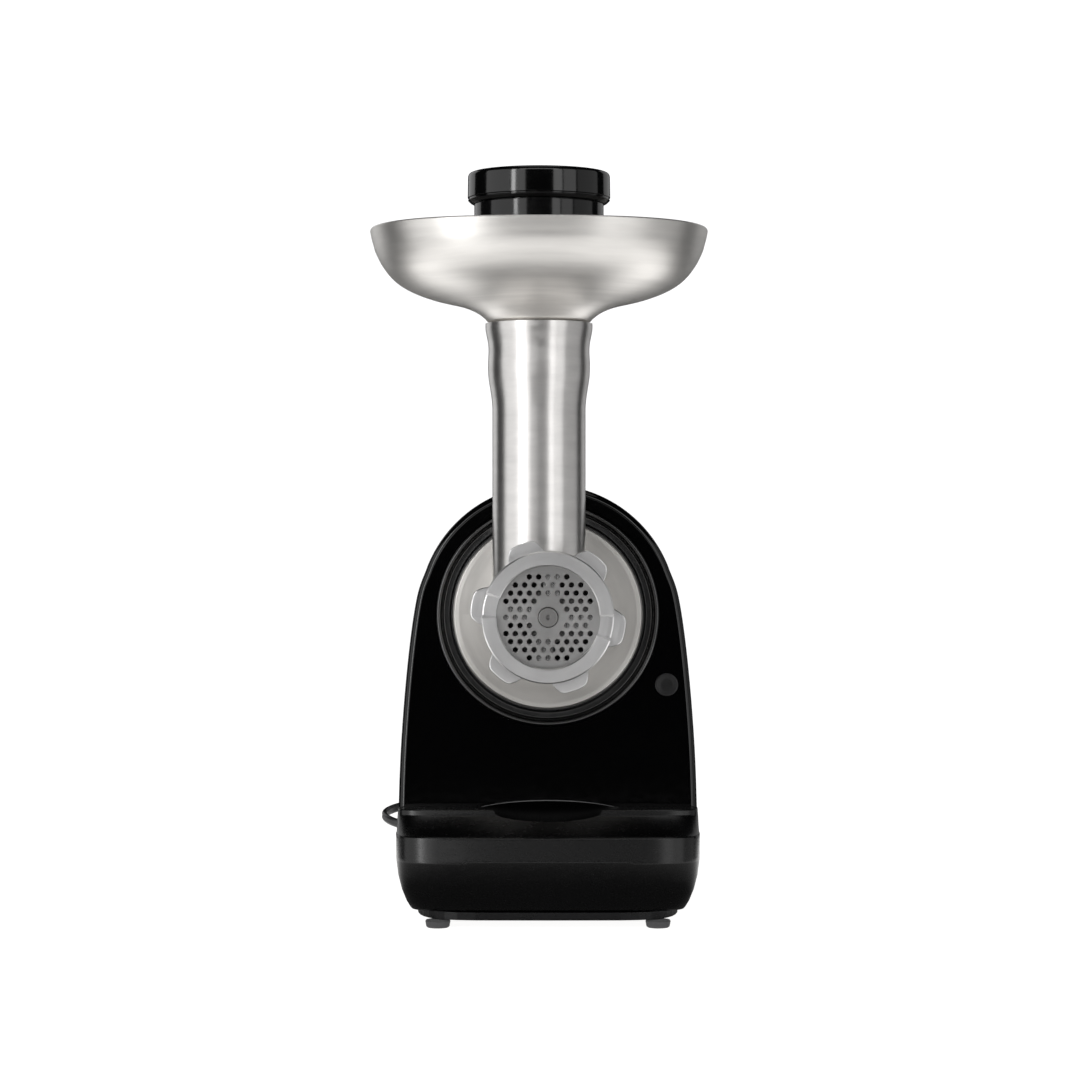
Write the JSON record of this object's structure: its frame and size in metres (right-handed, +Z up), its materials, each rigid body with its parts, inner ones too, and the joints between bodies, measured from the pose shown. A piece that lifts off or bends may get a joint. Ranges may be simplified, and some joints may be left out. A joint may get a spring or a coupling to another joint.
{
  "type": "electric meat grinder",
  "caption": "Electric meat grinder: arched body with motor and gears, twist-on steel head with feed tube, tray and pusher, storage drawer and mains cord.",
  "frame": {"origin": "middle of the footprint of the grinder without its cord, on the surface that it stands on; X = 0 is the feed tube's axis", "axes": "+X to the user's right as they face the grinding head, the head points along -Y, +Z up"},
  "size_m": [0.1739, 0.3875, 0.3703],
  "materials": {
    "gloss_black": "polished black plastic",
    "satin_black": "smooth satin black plastic",
    "rubber": "soft matt rubber",
    "cord_black": "soft satin black sheath",
    "satin_steel": "satin brushed stainless steel",
    "bright_steel": "machined bright steel",
    "aluminium": "as cast",
    "brass": "plain",
    "copper": "enamelled copper wire and bars",
    "core_steel": "oiled laminations and hardened steel",
    "nylon": "natural nylon",
    "carbon": "pressed carbon"
  },
  "bodies": {
    "housing": {"front_panel": "gloss_black", "casing": "satin_black", "rear_cover": "satin_black", "inner_deck": "satin_black", "base_plate": "satin_black", "foot_front_left": "rubber", "foot_front_right": "rubber", "foot_rear_left": "rubber", "foot_rear_right": "rubber", "base_screw_1": "bright_steel", "base_screw_2": "bright_steel", "base_screw_3": "bright_steel", "base_screw_4": "bright_steel", "head_socket": "gloss_black", "gearbox_case": "aluminium", "gearbox_cover": "aluminium", "output_bush": "brass", "first_gear_shaft": "bright_steel", "second_gear_shaft": "bright_steel", "motor_stator": "core_steel", "field_coil_left": "copper", "field_coil_right": "copper", "carbon_brush_left": "carbon", "carbon_brush_right": "carbon", "motor_cradle": "rubber", "motor_bracket": "aluminium", "motor_bearing_front": "bright_steel", "motor_bearing_rear": "bright_steel", "switch_body": "satin_black", "cord_strain_relief": "cord_black", "mains_cord": "cord_black", "cord_coil": "cord_black", "cord_tie": "satin_black", "plug_body": "cord_black", "plug_pin_left": "brass", "plug_pin_right": "brass"},
    "head": {"grinder_head": "satin_steel", "head_flange": "satin_steel", "die_plate": "bright_steel", "auger_bush": "nylon"},
    "ring_nut": {"ring_nut": "bright_steel"},
    "tray": {"feed_tray": "satin_steel"},
    "pusher": {"pusher_body": "satin_black", "pusher_cap": "gloss_black"},
    "drive": {"output_gear": "core_steel", "output_shaft": "bright_steel", "auger": "satin_steel", "cutting_knife": "bright_steel"},
    "second_gear": {"second_gear": "nylon"},
    "first_gear": {"first_gear": "nylon"},
    "rotor": {"motor_shaft": "bright_steel", "rotor_core": "core_steel", "commutator": "copper", "cooling_fan": "satin_black"},
    "drawer": {"drawer_front": "satin_black", "drawer_tray": "satin_black"},
    "release": {"release_button": "satin_black", "latch_lever": "bright_steel", "button_spring": "bright_steel"},
    "rocker": {"rocker_switch": "gloss_black"}
  },
  "joints": [
    {"name": "head_twist", "type": "hinge", "parent": "housing", "child": "head", "pos_m": [0.0044, -0.04125, 0.1528], "axis": [0, 1, 0], "range_deg": [0, 45]},
    {"name": "ring_nut_turn", "type": "hinge", "parent": "head", "child": "ring_nut", "pos_m": [0.0044, -0.04125, 0.1528], "axis": [0, -1, 0], "range_deg": [0, 540]},
    {"name": "tray_lift", "type": "slide", "parent": "head", "child": "tray", "axis": [0, 0, 1], "range_m": [0, 0.03]},
    {"name": "pusher_lift", "type": "slide", "parent": "tray", "child": "pusher", "axis": [0, 0, 1], "range_m": [0, 0.12]},
    {"name": "rotor_spin", "type": "hinge", "parent": "housing", "child": "rotor", "pos_m": [0.0044, 0.06, 0.096], "axis": [0, -1, 0], "continuous": true},
    {"name": "first_gear_spin", "type": "hinge", "parent": "housing", "child": "first_gear", "pos_m": [-0.02047, 0, 0.11278], "axis": [0, -1, 0], "continuous": true},
    {"name": "second_gear_spin", "type": "hinge", "parent": "housing", "child": "second_gear", "pos_m": [0.01689, 0, 0.10957], "axis": [0, -1, 0], "continuous": true},
    {"name": "drive_spin", "type": "hinge", "parent": "housing", "child": "drive", "pos_m": [0.0044, -0.04125, 0.1528], "axis": [0, -1, 0], "continuous": true},
    {"name": "drawer_slide", "type": "slide", "parent": "housing", "child": "drawer", "axis": [0, -1, 0], "range_m": [0, 0.12]},
    {"name": "release_press", "type": "slide", "parent": "housing", "child": "release", "axis": [0, 1, 0], "range_m": [0, 0.004], "stiffness_N_per_m": 500, "deforming": ["button_spring"]},
    {"name": "rocker_tilt", "type": "hinge", "parent": "housing", "child": "rocker", "pos_m": [0.0773, 0.05075, 0.086], "axis": [0, 0, 1], "range_deg": [-10, 10]}
  ],
  "couplings": [
    {"joint": "first_gear_spin", "follows": "rotor_spin", "ratio": -0.25},
    {"joint": "second_gear_spin", "follows": "rotor_spin", "ratio": 0.0625},
    {"joint": "drive_spin", "follows": "rotor_spin", "ratio": -0.015625}
  ]
}
